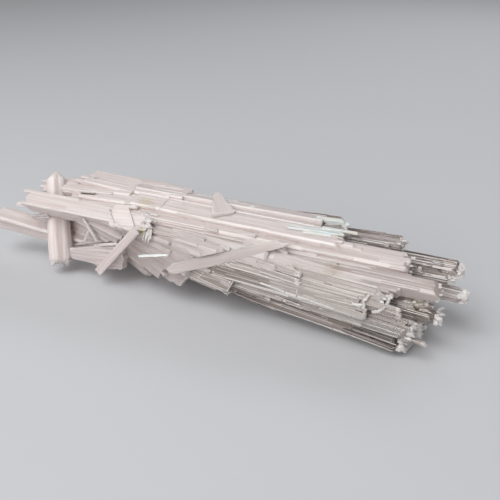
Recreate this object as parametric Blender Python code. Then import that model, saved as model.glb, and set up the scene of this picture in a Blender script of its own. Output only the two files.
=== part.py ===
"""Scolecite cluster: a lying sheaf of fanned, intergrown prisms with loose crystals caught on it.

Lengths are in millimetres and angles in degrees, and MM turns a length to metres.
+X runs along the sheaf towards its clear free tips, and +Z is up. The tables are laid out about
the sheaf's waist, and BOX_MIDDLE then moves the model so that the origin lies under its middle.
"""

import math
import random

import bmesh
import bpy
from mathutils import Matrix, Vector

MM = 0.001
BOX_MIDDLE = Vector((-10.12, -0.49, 0.0))  # middle of the cluster's box, on the table
GAP = 0.3  # clear space between crystals that only touch
SEAT_LIFT = 3.0  # how far the seat of a loose crystal stays open above it
LOWEST_FACE = 0.7  # no prism but the resting ones comes nearer to the table than this

# How a single prism is made.
CHAMFER_SHARE = 0.16  # bevel of the long edges, as a share of the thinner side
CHAMFER_SPREAD = (0.6, 1.5)

# The fan: filling prisms spread from a focus behind the broken left end.
FAN_FOCUS = Vector((-84.0, 0.0, 13.5))
FAN_SEED = 4

# The sheaf's girth, to the middle of its outer prisms: x, (middle height, half width, half height).
GIRTH = (
    (-55, (13.6, 6.5, 4.5)),
    (-35, (12.0, 9.5, 7.0)),
    (-5, (10.6, 10.6, 8.0)),
    (42, (8.4, 10.0, 5.8)),
)

# Filling prisms laid by rule: how many, over which arc from straight up (turning by way of +Y and
# the underside), how far out in the girth, where the tips end, how long and how wide they are.
FILL_RINGS = {
    "short": dict(count=9, arc=(-12, -212), reach=1.0, tips=(-24, -8), lengths=(22, 32), widths=(3.6, 5.4)),
    "middle": dict(count=11, arc=(-12, -212), reach=1.0, tips=(2, 20), lengths=(30, 44), widths=(3.4, 5.0)),
    "long": dict(count=11, arc=(-12, -212), reach=1.0, tips=(28, 44), lengths=(40, 56), widths=(2.8, 4.2)),
    "inner": dict(count=10, arc=(0, -360), reach=0.5, tips=(27, 43), lengths=(30, 44), widths=(3.0, 4.4)),
    "narrow": dict(count=46, arc=(80, -250), reach=1.13, tips=(-22, 42), lengths=(9, 34), widths=(0.9, 2.0)),
}
FILL_TURN = 14  # how far a filling prism may be turned from lying flat on the girth

# Prisms placed one by one: root centre, tip centre, (width, thickness), turn, (root end, tip end).
HEART = {
    "heart_low": ((-43, 2.0, 9.6), (18, 0.5, 9.0), (12, 10), 6, ("blunt", "blunt")),
    "heart_top": ((-46, 2.5, 14.0), (12, 1.0, 13.4), (11, 8), -8, ("slant", "blunt")),
    "heart_back": ((-30, 5.0, 10.0), (24, 4.0, 9.5), (11, 10), 12, ("blunt", "slant")),
}
# The three prisms that the cluster rests on, with level undersides.
RESTING = {
    "keel_front": ((-15.0, 3.3, 1.9), (39.4, -7.2, 1.9), (4.6, 3.8), 0, ("blunt", "ragged")),
    "keel_back": ((-34.0, 6.8, 2.1), (27.0, 10.0, 2.1), (4.4, 4.2), 0, ("blunt", "blunt")),
    "keel_left": ((-35.0, 2.9, 2.0), (-17.5, -2.3, 2.0), (4.4, 4.0), 0, ("blunt", "slant")),
}
FREE_TIPS = {
    "clear_top_right": ((-12, 3.0, 14.2), (46.2, 5.0, 14.2), (3.2, 2.6), 18, ("blunt", "ragged")),
    "milky_chisel": ((-28, -7.4, 14.8), (44.2, -4.8, 13.6), (3.9, 3.0), 16, ("blunt", "chisel")),
    "clear_behind": ((-10, 2.0, 10.6), (48.0, 3.2, 9.3), (3.0, 2.4), 12, ("blunt", "ragged")),
    "clear_low_mid": ((-14, -3.0, 10.4), (44.6, -4.4, 7.8), (3.6, 2.9), 16, ("blunt", "ragged")),
    "clear_low_back": ((-14, -1.6, 5.4), (41.2, -5.4, 4.6), (3.6, 3.2), 8, ("blunt", "ragged")),
    "spike": ((20, -7.5, 5.2), (42.4, -9.6, 4.6), (0.9, 0.8), 10, ("blunt", "slant")),
    "clear_upper": ((-6, 6.0, 15.2), (33.0, 9.6, 15.4), (2.8, 2.4), 20, ("blunt", "pyramid")),
    "clear_upper_low": ((-4, 5.0, 15.6), (30.0, 7.0, 14.8), (2.2, 1.8), 10, ("blunt", "blunt")),
    "glint_long": ((-14, 5.0, 17.6), (19.6, 7.6, 18.6), (2.6, 1.9), 8, ("blunt", "slant")),
    "glint_short": ((-8, 3.0, 17.8), (20.8, 5.2, 17.6), (2.6, 2.2), 26, ("blunt", "chisel")),
    "upper_inner": ((-10, 3.4, 14.6), (38.6, 3.4, 12.8), (4.4, 3.4), 10, ("blunt", "ragged")),
}
FRONT_BANDS = {
    "upper_milky": ((-27, -5.5, 17.2), (37.0, -0.6, 15.4), (5.2, 3.4), 14, ("blunt", "chisel")),
    "upper_band": ((-28, -3.4, 18.6), (22.5, -0.6, 17.2), (5.0, 3.2), 8, ("blunt", "chisel")),
    "top_ridge": ((-30, 1.5, 19.4), (15.5, 5.6, 18.2), (5.0, 3.0), -12, ("blunt", "blunt")),
    "broken_upper": ((-24, -8.8, 13.8), (34.6, -8.8, 11.6), (4.0, 3.2), 52, ("blunt", "ragged")),
    "frosted_stub": ((0, -8.4, 13.2), (17.4, -10.0, 13.4), (2.9, 2.4), 48, ("blunt", "ragged")),
    "broken_lower": ((-12, -9.4, 11.6), (31.4, -10.4, 9.8), (4.4, 3.2), 66, ("blunt", "ragged")),
    "front_band": ((-8, -8.4, 9.2), (40.4, -9.0, 5.9), (4.2, 3.2), 60, ("blunt", "ragged")),
    "low_band": ((-6, -6.4, 5.6), (24.0, -9.0, 4.0), (3.6, 3.0), 70, ("blunt", "slant")),
    "edge_strip": ((-2, -8.8, 5.2), (10.5, -8.8, 3.3), (1.3, 1.0), 30, ("blunt", "slant")),
    "wedge": ((-18, -8.0, 10.6), (2.0, -10.6, 8.6), (6.2, 3.0), 74, ("blunt", "slant")),
    "wedge_chip": ((-14.2, -8.6, 9.0), (-12.0, -10.2, 4.0), (3.0, 1.2), 60, ("blunt", "pyramid")),
}
LOWER_LEFT = {
    "steep_a": ((-31, -5.8, 14.6), (-9.0, -10.2, 9.4), (5.2, 3.8), 62, ("blunt", "blunt")),
    "steep_b": ((-33, -5.4, 12.8), (-13.0, -9.9, 7.6), (5.0, 3.8), 68, ("blunt", "ragged")),
    "steep_c": ((-34, -4.8, 10.8), (-16.5, -9.1, 5.8), (4.8, 3.6), 74, ("blunt", "blunt")),
    "steep_d": ((-34, -4.0, 8.8), (-20.0, -7.6, 4.4), (4.6, 3.4), 80, ("blunt", "ragged")),
    "steep_e": ((-35, -2.8, 6.8), (-23.5, -5.6, 3.4), (4.4, 3.2), 86, ("blunt", "blunt")),
}
LEFT_END = {
    "left_prism": ((-67.4, -8.0, 9.4), (-37.0, -3.4, 5.0), (4.4, 3.7), 18, ("blunt", "blunt")),
    "upper_left": ((-57.2, -9.4, 16.6), (-27.0, -7.0, 15.6), (4.2, 3.8), 34, ("ragged", "blunt")),
    "left_sliver": ((-60.3, -8.8, 14.6), (-44.0, -9.5, 16.0), (1.3, 1.0), 10, ("slant", "blunt")),
    "left_sliver_low": ((-55.0, -6.6, 12.6), (-40.0, -7.4, 13.8), (1.7, 1.4), 30, ("slant", "blunt")),
    "back_block": ((-58.6, -0.8, 16.2), (-30.0, 0.0, 18.6), (6.0, 4.4), 10, ("ragged", "blunt")),
    "far_block": ((-55.0, 4.6, 13.6), (-20.0, 6.5, 14.0), (7.0, 6.0), -14, ("ragged", "blunt")),
    "low_block": ((-52.0, 1.0, 9.0), (-24.0, 0.0, 8.0), (8.0, 6.0), 20, ("slant", "blunt")),
    "slab_first": ((-47.6, 2.2, 19.8), (-29.6, 1.4, 19.7), (6.6, 2.2), 6, ("slant", "chisel")),
    "slab_second": ((-37.0, 2.2, 19.2), (-20.6, 2.9, 19.3), (7.8, 3.0), 3, ("blunt", "oblique")),
    "slab_chip": ((-30.0, 3.8, 18.6), (-16.6, 4.6, 18.6), (5.0, 2.2), -6, ("blunt", "oblique")),
    "cleavage_block": ((-31.2, -7.6, 15.8), (-24.4, -7.2, 16.5), (5.4, 4.2), 43, ("blunt", "oblique")),
}

# Crystals of their own, which lie on the sheaf or lean against it without growing through it.
LOOSE = {
    "upright_prism": ((-45.3, -12.2, 2.9), (-53.8, -0.6, 21.4), (5.2, 4.2), 20, ("ragged", "pyramid")),
    "tabular_crystal": ((-42.0, -9.7, 5.2), (-27.6, -9.7, 7.2), (7.4, 2.0), 79, ("blunt", "point")),
    "short_cross_prism": ((-33.8, -12.6, 3.4), (-22.6, -11.9, 16.2), (2.0, 1.4), 80, ("blunt", "blunt")),
    "cross_blade": ((-12.8, -12.0, 8.6), (12.8, -6.8, 18.4), (2.8, 1.0), 60, ("blunt", "splinter")),
    "bright_needle": ((-22.4, -12.0, 9.9), (-14.2, -12.3, 12.2), (0.6, 0.5), 60, ("slant", "slant")),
    "leaning_needle_long": ((-34.8, -10.6, 10.3), (-38.9, -9.8, 15.3), (0.7, 0.6), 0, ("blunt", "blunt")),
    "leaning_needle_short": ((-38.8, -10.0, 9.9), (-37.8, -9.2, 12.4), (0.9, 0.7), 0, ("blunt", "blunt")),
    "top_flake": ((-5.6, -2.4, 19.9), (-11.8, 6.4, 20.9), (6.6, 0.9), 0, ("blunt", "flake")),
}

# Finishes: colour, roughness and how much light goes through.
MILKY = ((0.80, 0.76, 0.77, 1.0), 0.38, 0.25)
SILKY = ((0.84, 0.81, 0.82, 1.0), 0.30, 0.35)
GLASSY = ((0.93, 0.94, 0.95, 1.0), 0.10, 0.85)
FINISHES = {
    "crystal_sheaf": MILKY,
    "upright_prism": SILKY,
    "tabular_crystal": MILKY,
    "short_cross_prism": SILKY,
    "cross_blade": MILKY,
    "bright_needle": GLASSY,
    "leaning_needle_long": SILKY,
    "leaning_needle_short": SILKY,
    "top_flake": SILKY,
}


def clear_scene():
    for obj in list(bpy.data.objects):
        bpy.data.objects.remove(obj, do_unlink=True)


def new_collection(name, helper=False):
    collection = bpy.data.collections.new(name)
    collection.hide_render = helper
    bpy.context.scene.collection.children.link(collection)
    return collection


def crystal_material(name, colour, roughness, transmission):
    material = bpy.data.materials.new(f"{name}_scolecite")
    material.use_nodes = True
    shader = material.node_tree.nodes["Principled BSDF"]
    shader.inputs["Base Color"].default_value = colour
    shader.inputs["Roughness"].default_value = roughness
    shader.inputs["Metallic"].default_value = 0.0
    shader.inputs["IOR"].default_value = 1.51
    shader.inputs["Transmission Weight"].default_value = transmission
    material.diffuse_color = colour
    return material


def lay(root, tip, turn):
    """Matrix that lays a prism, modelled along +X from the origin, from root to tip."""
    along = (tip - root).normalized()
    side = Vector((0, 0, 1)).cross(along).normalized()
    up = along.cross(side)
    frame = Matrix((along, side, up)).transposed().to_4x4()
    return Matrix.Translation(root) @ frame @ Matrix.Rotation(math.radians(turn), 4, "X")


def trim(bm, point, normal):
    """Cut away all that lies beyond a plane, and close the cut with one flat face."""
    geometry = bm.verts[:] + bm.edges[:] + bm.faces[:]
    cut = bmesh.ops.bisect_plane(
        bm, geom=geometry, dist=1e-5, plane_co=point, plane_no=normal, clear_outer=True
    )
    rim = [item for item in cut["geom_cut"] if isinstance(item, bmesh.types.BMEdge)]
    if rim:
        bmesh.ops.contextual_create(bm, geom=rim)


def end_cuts(style, width, draw):
    """The planes that shape a prism's end, each as (drop below the tip, outward normal)."""

    def lean(spread):
        return draw.uniform(-spread, spread)

    if style == "blunt":
        return [(0.0, (1, lean(0.12), lean(0.12)))]
    if style == "slant":
        return [(0.25 * width, (1, lean(0.2), 0.75))]
    if style == "oblique":
        return [(0.2 * width, (1, 0.65, 0.15))]
    if style == "chisel":
        return [(0.1 * width, (1, 0.15, 0.9)), (0.1 * width, (1, -0.1, -0.8))]
    if style == "point":
        return [(0.0, (1, 0.9, 0.1)), (0.0, (1, -0.7, 0.1))]
    if style == "splinter":
        return [(0.0, (1, 2.2, 0.1)), (0.0, (1, -0.9, 0.1))]
    if style == "flake":
        return [(0.0, (1, 2.4, 0)), (0.0, (1, -2.0, 0)), (0.14 * width, (1, 0.2, 0.1))]
    if style == "pyramid":
        return [(0.0, (1, side, rise)) for side, rise in ((0.8, 0), (-0.8, 0), (0, 0.8), (0, -0.8))]
    return ragged_cuts(width, lean)


def ragged_cuts(width, lean):
    """A broken end: a nearly square break with its four corners knocked off unevenly."""
    cuts = [(0.0, (1, lean(0.15), lean(0.15)))]
    for corner in range(4):
        angle = math.radians(45 + 90 * corner + lean(25))
        cuts.append((0.12 * width, (1, 0.9 * math.cos(angle), 0.9 * math.sin(angle))))
    return cuts


def prism_mesh(name, root, tip, section, turn, ends, grow=0.0, lift=0.0):
    """One crystal: a prism with chamfered long edges, its two ends cut to shape.

    A seat is the same prism, larger by grow all round and opened by lift on its outward face.
    """
    draw = random.Random(name)
    root, tip = Vector(root), Vector(tip)
    along = (tip - root).normalized()
    length = (tip - root).length + 2 * grow
    width = section[0] + 2 * grow
    thickness = section[1] + 2 * grow + lift
    bm = bmesh.new()
    bmesh.ops.create_cube(bm, size=1.0)
    bmesh.ops.translate(bm, vec=(0.5, 0, 0), verts=bm.verts)
    bmesh.ops.scale(bm, vec=(length, width, thickness), verts=bm.verts)
    bmesh.ops.translate(bm, vec=(0, 0, lift / 2), verts=bm.verts)
    long_edges = [e for e in bm.edges if abs(e.verts[0].co.x - e.verts[1].co.x) > length / 2]
    chamfer = CHAMFER_SHARE * min(section) * draw.uniform(*CHAMFER_SPREAD)
    bmesh.ops.bevel(
        bm, geom=long_edges, offset=chamfer, segments=1, profile=0.5, affect="EDGES", material=-1
    )
    for drop, normal in end_cuts(ends[1], width, draw):
        trim(bm, Vector((length - drop, 0, 0)), Vector(normal))
    for drop, normal in end_cuts(ends[0], width, draw):
        trim(bm, Vector((drop, 0, 0)), Vector((-normal[0], normal[1], normal[2])))
    bmesh.ops.transform(bm, matrix=lay(root - along * grow, tip, turn), verts=bm.verts)
    bmesh.ops.translate(bm, vec=-BOX_MIDDLE, verts=bm.verts)
    bmesh.ops.scale(bm, vec=(MM, MM, MM), verts=bm.verts)
    bmesh.ops.recalc_face_normals(bm, faces=bm.faces)
    mesh = bpy.data.meshes.new(name)
    bm.to_mesh(mesh)
    bm.free()
    return mesh


def girth_at(x):
    """Middle height, half width and half height of the sheaf at x."""
    for (low_x, low), (high_x, high) in zip(GIRTH, GIRTH[1:]):
        if x <= high_x:
            share = max(0.0, (x - low_x) / (high_x - low_x))
            return [a + (b - a) * share for a, b in zip(low, high)]
    return GIRTH[-1][1]


def fill_prisms():
    """Prisms laid by rule round the sheaf, each pointing away from the focus."""
    draw = random.Random(FAN_SEED)
    specs = {}
    for ring, rule in FILL_RINGS.items():
        first, last = rule["arc"]
        for index in range(rule["count"]):
            share = (index + draw.uniform(0.2, 0.8)) / rule["count"]
            angle = math.radians(first + (last - first) * share)
            x = draw.uniform(*rule["tips"])
            width = draw.uniform(*rule["widths"])
            thickness = width * draw.uniform(0.7, 0.9)
            middle, half_width, half_height = girth_at(x)
            y = -rule["reach"] * half_width * math.sin(angle)
            z = middle + rule["reach"] * half_height * math.cos(angle)
            tip = Vector((x, y, max(z, LOWEST_FACE + 0.62 * width)))
            root = tip - (tip - FAN_FOCUS).normalized() * draw.uniform(*rule["lengths"])
            turn = math.degrees(angle) + draw.uniform(-FILL_TURN, FILL_TURN)
            ends = ("blunt", draw.choice(("blunt", "ragged", "chisel")))
            specs[f"{ring}_{index:02d}"] = (root, tip, (width, thickness), turn, ends)
    return specs


def add_object(name, mesh, collection):
    obj = bpy.data.objects.new(name, mesh)
    collection.objects.link(obj)
    return obj


def add_helper(name, mesh, collection):
    """A prism that only shapes the sheaf, by being joined to it or cut from it."""
    obj = add_object(name, mesh, collection)
    obj.hide_render = True
    obj.display_type = "WIRE"


def combine(obj, operation, collection):
    """Join a whole collection to an object, or cut it away, and keep the result as its mesh."""
    modifier = obj.modifiers.new(operation.lower(), "BOOLEAN")
    modifier.operation = operation
    modifier.operand_type = "COLLECTION"
    modifier.collection = collection
    modifier.solver = "EXACT"
    bpy.context.view_layer.update()
    evaluated = obj.evaluated_get(bpy.context.evaluated_depsgraph_get())
    obj.data = bpy.data.meshes.new_from_object(evaluated)
    obj.modifiers.clear()
    keep_main_shell(obj.data)


def keep_main_shell(mesh):
    """Fill the closed voids between grown prisms, and drop splinters that a cut left loose."""
    bm = bmesh.new()
    bm.from_mesh(mesh)
    unseen = set(bm.faces)
    shells = []
    while unseen:
        reached = [unseen.pop()]
        shell = []
        while reached:
            face = reached.pop()
            shell.append(face)
            beside = {other for edge in face.edges for other in edge.link_faces} & unseen
            unseen -= beside
            reached.extend(beside)
        shells.append(shell)
    for shell in sorted(shells, key=len)[:-1]:
        bmesh.ops.delete(bm, geom=shell, context="FACES")
    bm.to_mesh(mesh)
    bm.free()


def grow_sheaf(cluster, blanks, seats):
    """The sheaf: every intergrown prism joined in one solid, with seats for the loose crystals."""
    specs = {}
    for group in (HEART, RESTING, FREE_TIPS, FRONT_BANDS, LOWER_LEFT, LEFT_END, fill_prisms()):
        specs.update(group)
    core = specs.pop("heart_low")
    for name, spec in specs.items():
        add_helper(name, prism_mesh(name, *spec), blanks)
    sheaf = add_object("crystal_sheaf", prism_mesh("heart_low", *core), cluster)
    combine(sheaf, "UNION", blanks)
    for name, spec in LOOSE.items():
        seat = prism_mesh(name, *spec, grow=GAP, lift=SEAT_LIFT)
        add_helper(f"seat_of_{name}", seat, seats)
    combine(sheaf, "DIFFERENCE", seats)


clear_scene()
cluster = new_collection("scolecite_cluster")
blanks = new_collection("sheaf_blanks", helper=True)
seats = new_collection("loose_crystal_seats", helper=True)
grow_sheaf(cluster, blanks, seats)
for name, spec in LOOSE.items():
    add_object(name, prism_mesh(name, *spec), cluster)
for obj in cluster.objects:
    obj.data.materials.clear()
    obj.data.materials.append(crystal_material(obj.name, *FINISHES[obj.name]))
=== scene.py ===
from math import cos, degrees, inf, pi, radians, sin, tan
from random import Random

import bmesh
import bpy
from mathutils import Matrix, Vector, noise


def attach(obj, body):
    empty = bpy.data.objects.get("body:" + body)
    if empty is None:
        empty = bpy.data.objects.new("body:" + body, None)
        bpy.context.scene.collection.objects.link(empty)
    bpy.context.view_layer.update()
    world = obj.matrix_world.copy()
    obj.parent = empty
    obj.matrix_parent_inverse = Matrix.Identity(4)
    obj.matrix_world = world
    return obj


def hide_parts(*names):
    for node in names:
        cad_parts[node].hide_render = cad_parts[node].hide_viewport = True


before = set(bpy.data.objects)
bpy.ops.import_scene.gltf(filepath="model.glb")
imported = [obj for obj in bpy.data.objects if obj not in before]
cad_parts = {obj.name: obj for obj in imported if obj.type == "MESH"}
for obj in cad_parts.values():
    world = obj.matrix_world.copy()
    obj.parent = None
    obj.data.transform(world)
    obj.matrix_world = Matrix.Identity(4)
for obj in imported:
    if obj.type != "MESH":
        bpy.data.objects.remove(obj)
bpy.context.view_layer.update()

mm = 0.001
boxMiddle = Vector((-10.12, -0.49, 0))  # the tables are laid out about the sheaf's waist, in mm
scene = bpy.context.scene
milkyFrom = 0.6  # of 0 to 1: cloudier crystals go in the milky skin


def toLinear(hexColour):
    # sRGB hex to linear RGBA
    channels = [int(hexColour[i:i + 2], 16) / 255 for i in (1, 3, 5)]
    return [c / 12.92 if c <= 0.04045 else ((c + 0.055) / 1.055) ** 2.4 for c in channels] + [1]


def addNode(tree, kind, links=(), inputs=(), **settings):
    # links and inputs are pairs of a socket's name or number with its source or value
    node = tree.nodes.new(kind)
    for name, value in settings.items():
        setattr(node, name, value)
    for socket, value in inputs:
        node.inputs[socket].default_value = value
    for socket, source in links:
        tree.links.new(source, node.inputs[socket])
    return node


def kindOf(milk):
    return "milky" if milk > milkyFrom else "clear"


def addObject(name, data, collection=scene.collection):
    obj = bpy.data.objects.new(name, data)
    collection.objects.link(obj)
    return obj


def makeObject(name, bm, collection=scene.collection):
    mesh = bpy.data.meshes.new(name)
    bm.to_mesh(mesh)
    bm.free()
    return addObject(name, mesh, collection)


# one crystal: a prism whose faces are striped lengthwise by flat strips at slightly different depths
prism = {
    "chamferShare": 0.14,  # of the thinner side
    "chamferHighlight": 0.6,  # how bright a chamfer's painted edge highlight is
    "seams": ((0, 0, 0.3, 1), 0.1),  # how bright the painted highlight on the seams may be, and their share of a strip
    "endHighlight": (0, 0, 0, 0, 0, 0.3, 0.6, 0.6, 1),  # a painted highlight, one of these on each face of an end
    "stripWidth": (0.4, 1.3),  # mm
    "lathStripWidth": (0.5, 1.3),  # mm, on the narrow crystals
    "stripDepth": {"clear": 0.10, "milky": 0.035},  # mm that a strip may be sunk
    "stageLength": (6, 16),  # mm between the places where strips end
    "stepLength": 0.12,  # mm, the little slope at the end of a strip
    "stepChance": 0.3,  # of a new depth there
    "calmLength": 3,  # mm behind the tip where no strip ends
    "lathDepthShare": 0.4,  # of the strip depth, on the narrow crystals
    "frostLength": 1.1,  # mm of whitened crystal behind a free tip
    "frost": (0.7, 0.3),  # how white its end and its sides are
}


def sectionOutline(width, thick, draw, stripWidth):
    # round a chamfered box, two to a strip: place, outward, strip number, painted edge highlight
    w, t = width / 2, thick / 2
    c = prism["chamferShare"] * 2 * min(w, t) * draw.uniform(0.6, 1.4)
    corners = [(-w + c, -t), (w - c, -t), (w, -t + c), (w, t - c),
               (w - c, t), (-w + c, t), (-w, t - c), (-w, -t + c)]
    points = []
    strip = 0
    paintedHighlight, seamShare = prism["seams"]
    for side, (start, end) in enumerate(zip(corners, corners[1:] + corners[:1])):
        start, end = Vector(start), Vector(end)
        count = max(1, round((end - start).length / draw.uniform(*stripWidth)))
        cuts = sorted(draw.uniform(0, 1) for _ in range(count - 1))
        stops = [0] + [0.5 * cut + 0.5 * (n + 1) / count for n, cut in enumerate(cuts)] + [1]
        outward = Vector((end.y - start.y, start.x - end.x)).normalized()
        for a, b in zip(stops, stops[1:]):
            bright = prism["chamferHighlight"] if side % 2 else 0
            points.append((start.lerp(end, a), outward, strip, bright))
            points.append((start.lerp(end, b - seamShare * (b - a)), outward, strip, draw.choice(paintedHighlight)))
            strip += 1
    return points, strip


def endCuts(style, width, draw):
    # planes that shape an end: how far below the tip, and the outward normal
    def lean(spread):
        return draw.uniform(-spread, spread)
    shapes = {
        "blunt": [(0, (1, lean(0.12), lean(0.12)))],
        "slant": [(0.25, (1, lean(0.2), 0.75))],
        "oblique": [(0.2, (1, 0.65, 0.15))],
        "chisel": [(0.1, (1, 0.15, 0.9)), (0.1, (1, -0.1, -0.8))],
        "point": [(0, (1, 0.9, 0.1)), (0, (1, -0.7, 0.1))],
        "pyramid": [(0, (1, side, rise)) for side, rise in ((0.8, 0), (-0.8, 0), (0, 0.8), (0, -0.8))],
    }
    if style in shapes:
        return [(share * width, normal) for share, normal in shapes[style]]
    cuts = [(0, (1, lean(0.15), lean(0.15)))]  # ragged: a square break with its corners knocked off
    for corner in range(4):
        angle = radians(45 + 90 * corner + lean(25))
        cuts.append((0.12 * width, (1, 0.9 * cos(angle), 0.9 * sin(angle))))
    return cuts


def trim(bm, x, normal, paintedHighlight):
    cut = bmesh.ops.bisect_plane(bm, geom=bm.verts[:] + bm.edges[:] + bm.faces[:], dist=1e-5,
                                 plane_co=(x, 0, 0), plane_no=normal, clear_outer=True)
    rim = [e for e in cut["geom_cut"] if isinstance(e, bmesh.types.BMEdge)]
    if rim:
        # the new end face carries a painted highlight
        for face in bmesh.ops.contextual_create(bm, geom=rim)["faces"]:
            face[faceLayers(bm)["edge"]] = paintedHighlight


def lay(root, tip, turn):
    # lays a prism, modelled along +X from the origin, from root to tip
    along = (tip - root).normalized()
    side = Vector((0, 0, 1)).cross(along).normalized()
    turned = Matrix((along, side, along.cross(side))).transposed().to_4x4()
    return Matrix.Translation(root) @ turned @ Matrix.Rotation(radians(turn), 4, "X")


def extrudeCap(bm, cap, keep=False):
    moved = bmesh.ops.extrude_face_region(bm, geom=[cap])["geom"]
    if not keep:
        bmesh.ops.delete(bm, geom=[cap], context="FACES_ONLY")
    return next(g for g in moved if isinstance(g, bmesh.types.BMFace))


def faceLayers(bm):
    # cloudiness, tone of the whole crystal, whitening near a tip and a painted highlight on the long edges
    known = bm.faces.layers.float
    return {name: known.get(name) or known.new(name) for name in ("milk", "tone", "frost", "edge")}


def startPrism(corners):
    # a one-sided ring whose vertices remember their order
    bm = bmesh.new()
    order = bm.verts.layers.int.new("order")
    faceLayers(bm)
    ring = bmesh.ops.create_circle(bm, cap_ends=True, segments=corners, radius=1)["verts"]
    for index, vert in enumerate(ring):
        vert[order] = index
    return bm, order, ring[0].link_faces[0]


def shapeRing(cap, order, x, spots):
    for vert in cap.verts:
        vert.co = (x, *spots[vert[order]])


def sunk(points, depths):
    return [place - outward * depths[strip] for place, outward, strip, edge in points]


def markEdges(bm, order, points):
    # each side face takes the painted edge highlight of its outline point
    edge = faceLayers(bm)["edge"]
    for face in bm.faces:
        corners = {vert[order] for vert in face.verts}
        if len(corners) == 2:
            low, high = sorted(corners)
            face[edge] = points[low if high == low + 1 else high][3]


def placeCrystal(bm, root, tip, turn):
    # from mm along +X to metres in its place
    place = Matrix.Scale(mm, 4) @ Matrix.Translation(-boxMiddle) @ lay(Vector(root), Vector(tip), turn)
    bmesh.ops.transform(bm, matrix=place, verts=bm.verts)


def crystalMesh(seed, root, tip, section, turn, ends, milk=1, lath=False, grow=0, lift=0, frost=0):
    # milk is how cloudy it is and frost how white, from 0 to 1; ends names the shape of its tip, or of
    # its root and its tip where the root isn't blunt
    draw = Random(seed)
    rootEnd, tipEnd = ends.split() if " " in ends else ("blunt", ends)
    root, tip = Vector(root), Vector(tip)
    length = (tip - root).length + 2 * grow
    width, thick = section[0] + 2 * grow, section[1] + 2 * grow
    points, strips = sectionOutline(width, thick, draw, prism["lathStripWidth" if lath else "stripWidth"])
    deepest = prism["stripDepth"][kindOf(milk)] * (prism["lathDepthShare"] if lath else 1)
    depths = [0 if lift else draw.uniform(0, deepest) for _ in range(strips)]
    bm, order, cap = startPrism(len(points))
    shapeRing(cap, order, 0, sunk(points, depths))
    stops = [0]
    lastStage = length - prism["calmLength"]
    while not (lath or lift) and stops[-1] < lastStage - 1:
        stops.append(stops[-1] + draw.uniform(*prism["stageLength"]))
    stops = [stop for stop in stops[1:] if stop < lastStage]
    whitened = kindOf(milk) == "clear" and not (lath or lift) and lastStage > 1
    if whitened:
        stops.append(length - prism["frostLength"])
    stops.append(length)
    for stop in stops:
        cap = extrudeCap(bm, cap, keep=stop == stops[0])
        shapeRing(cap, order, stop, sunk(points, depths))
        if stop < lastStage:
            cap = extrudeCap(bm, cap)
            depths = [draw.uniform(0, deepest) if draw.random() < prism["stepChance"] else d
                      for d in depths]
            shapeRing(cap, order, stop + prism["stepLength"], sunk(points, depths))
    markEdges(bm, order, points)
    if lift:
        bmesh.ops.translate(bm, vec=(0, 0, lift), verts=[v for v in bm.verts if v.co.z > 0])
    endDraw = Random(f"{seed} ends")
    for drop, normal in endCuts(tipEnd, width, draw):
        trim(bm, length - drop, normal, endDraw.choice(prism["endHighlight"]))
    for drop, (nx, ny, nz) in endCuts(rootEnd, width, draw):
        trim(bm, drop, (-nx, ny, nz), endDraw.choice(prism["endHighlight"]))
    bmesh.ops.recalc_face_normals(bm, faces=bm.faces)
    markGrain(bm, length if whitened else inf, milk, frost, draw)
    placeCrystal(bm, root - (tip - root).normalized() * grow, tip, turn)
    return bm


def markGrain(bm, length, milk, frost, draw):
    # the grain map runs across and along the crystal in metres; faces carry cloudiness, tone and frost
    grain = bm.loops.layers.uv.new("grain")
    layers = faceLayers(bm)
    endFrost, sideFrost = prism["frost"]
    tone, slide = draw.random(), draw.uniform(0, 200)
    for face in bm.faces:
        n = face.normal
        face[layers["milk"]] = milk
        face[layers["tone"]] = tone
        nearTip = face.calc_center_median().x > length - prism["frostLength"]
        face[layers["frost"]] = max(frost, (endFrost if n.x > 0.4 else sideFrost) if nearTip else 0)
        for loop in face.loops:
            p = loop.vert.co
            across = p.z + 40 if abs(n.y) > abs(n.z) + 0.001 else p.y  # a 45 degree face takes y
            along = ((across + slide) * mm, (p.x + slide) * mm)
            loop[grain].uv = (p.y * mm, p.z * mm) if abs(n.x) > 0.5 else along


def combine(name, meshes, operation="UNION", base=None):
    # joins all the crystals into one closed skin, or cuts them all out of base
    holder = bpy.data.collections.new(name + "Parts")
    scene.collection.children.link(holder)
    base = base or makeObject(name + "Base", meshes.pop())
    parts = [makeObject(name + "Part", bm, holder) for bm in meshes]
    merge = base.modifiers.new("merge", "BOOLEAN")
    merge.operation, merge.operand_type, merge.collection = operation, "COLLECTION", holder
    merge.solver = "MANIFOLD"
    bpy.context.view_layer.update()
    mesh = bpy.data.meshes.new_from_object(base.evaluated_get(bpy.context.evaluated_depsgraph_get()))
    for part in parts + [base]:
        bpy.data.objects.remove(part)
    bpy.data.collections.remove(holder)
    mesh.name = name
    dropCrumbs(mesh)
    return addObject(name, mesh)


leastShell = 0.1  # cubic mm: smaller shells are crumbs or, below nothing, sealed voids


def dropCrumbs(mesh):
    bm = bmesh.new()
    bm.from_mesh(mesh)
    unseen = set(bm.faces)
    while unseen:
        reached, shell = [unseen.pop()], []
        while reached:
            face = reached.pop()
            shell.append(face)
            beside = {other for edge in face.edges for other in edge.link_faces} & unseen
            unseen -= beside
            reached.extend(beside)
        volume = sum(f.calc_center_median().dot(f.normal) * f.calc_area() for f in shell) / 3
        if volume < leastShell * mm ** 3:
            bmesh.ops.delete(bm, geom=shell, context="FACES")
    bm.to_mesh(mesh)
    bm.free()


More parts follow.
